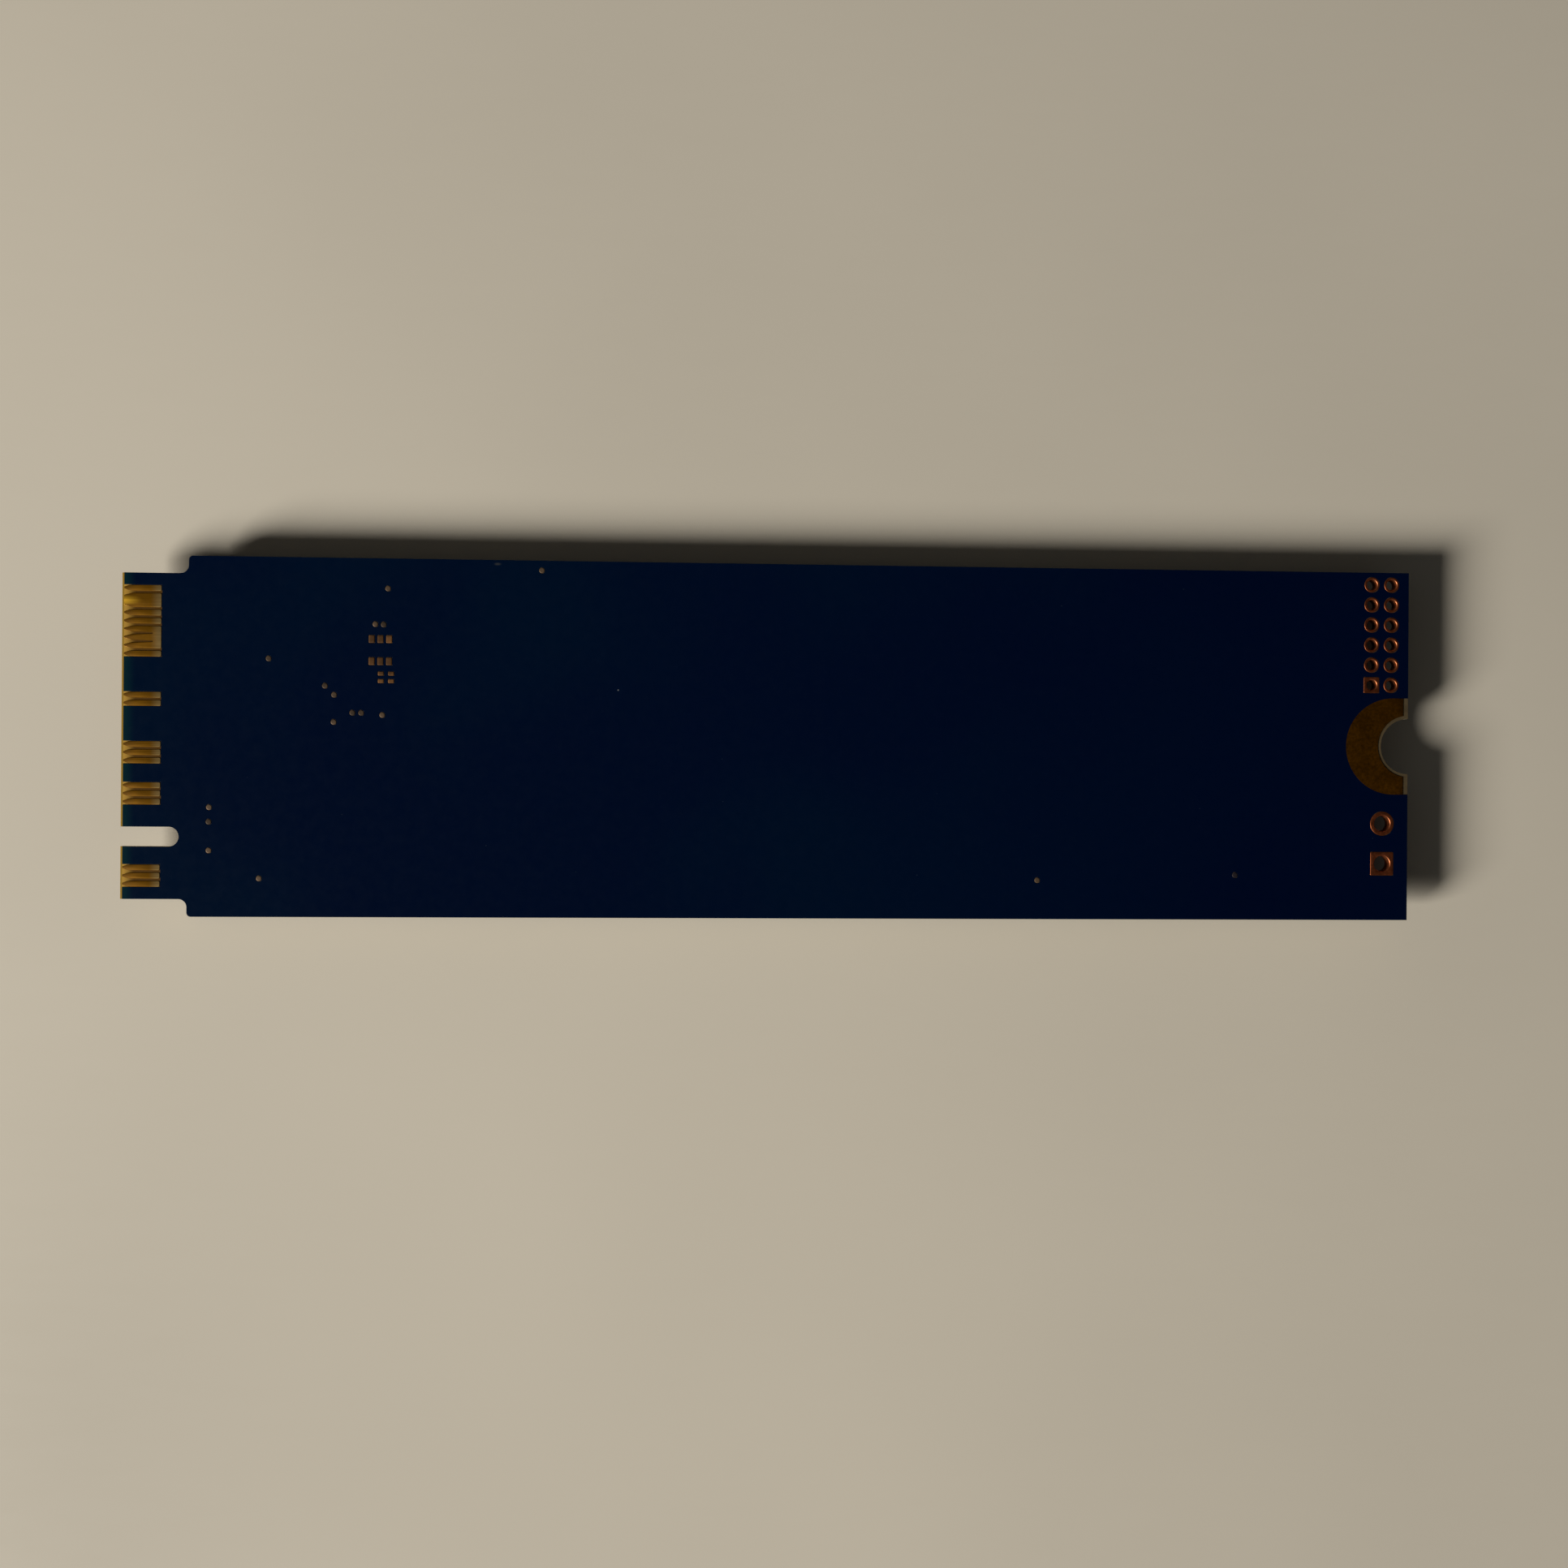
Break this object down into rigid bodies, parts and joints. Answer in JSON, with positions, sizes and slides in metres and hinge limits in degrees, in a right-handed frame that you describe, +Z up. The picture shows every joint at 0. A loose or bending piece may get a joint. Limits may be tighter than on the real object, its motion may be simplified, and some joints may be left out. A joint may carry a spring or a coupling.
{
  "type": "nvme ssd",
  "caption": "Solid state drive module on a bare dark blue card with a keyed gold edge connector and a half hole for its screw; lies on its packages.",
  "frame": {"origin": "centre of the module's outline at the surface that its packages lie on", "axes": "+Z up, out of the bare back of the board; +X from the edge contacts to the screw end; +Y across the board, to the side with pin 1"},
  "size_m": [0.08, 0.022, 0.0022],
  "materials": {
    "laminate": "glass-epoxy laminate, tan at cut edges",
    "solder_mask": "dark blue solder mask, glossy, faintly mottled",
    "contact_gold": "gold plating over nickel, satin with rub marks",
    "bare_copper": "bare pad finish, dull gold brown",
    "ring_copper": "plated copper of the header holes",
    "package_mould": "black epoxy mould, fine matt grain",
    "package_substrate": "dark green package substrate, sawn edge",
    "solder": "tin-silver solder, satin",
    "tin_plate": "matt tin on the terminals",
    "capacitor_ceramic": "tan brown ceramic",
    "resistor_ceramic": "white alumina",
    "resistor_glaze": "black glaze",
    "ferrite": "dark grey ferrite",
    "inductor_core": "pressed iron powder, dark grey",
    "crystal_ceramic": "dark ceramic base",
    "crystal_lid": "thin metal lid"
  },
  "bodies": {
    "root": {"boot_flash_leads": "tin_plate", "boot_flash_mould": "package_mould", "bulk_capacitor_bodies": "capacitor_ceramic", "bulk_capacitor_ends": "tin_plate", "cache_memory_balls": "solder", "cache_memory_mould": "package_mould", "cache_memory_substrate": "package_substrate", "circuit_board": "laminate", "controller_balls": "solder", "controller_mould": "package_mould", "controller_substrate": "package_substrate", "coupling_capacitor_bodies": "capacitor_ceramic", "coupling_capacitor_ends": "tin_plate", "crystal_base": "crystal_ceramic", "crystal_lid": "crystal_lid", "debug_header_rings": "ring_copper", "edge_contacts_back": "contact_gold", "edge_contacts_front": "contact_gold", "ferrite_bodies": "ferrite", "ferrite_ends": "tin_plate", "flash_a_balls": "solder", "flash_a_mould": "package_mould", "flash_a_substrate": "package_substrate", "flash_b_balls": "solder", "flash_b_mould": "package_mould", "flash_b_substrate": "package_substrate", "inductor_cores": "inductor_core", "inductor_terminals": "tin_plate", "large_capacitor_bodies": "capacitor_ceramic", "large_capacitor_ends": "tin_plate", "load_switch_leads": "tin_plate", "load_switch_mould": "package_mould", "power_chip_leads": "tin_plate", "power_chip_mould": "package_mould", "power_header_rings": "ring_copper", "resistor_bodies": "resistor_ceramic", "resistor_ends": "tin_plate", "resistor_glaze": "resistor_glaze", "screw_pad_back": "bare_copper", "screw_pad_front": "bare_copper", "small_capacitor_bodies": "capacitor_ceramic", "small_capacitor_ends": "tin_plate", "solder_mask_back": "solder_mask", "solder_mask_front": "solder_mask", "temperature_sensor_leads": "tin_plate", "temperature_sensor_mould": "package_mould", "test_pads": "bare_copper", "unfitted_part_pads": "bare_copper"}
  },
  "joints": []
}
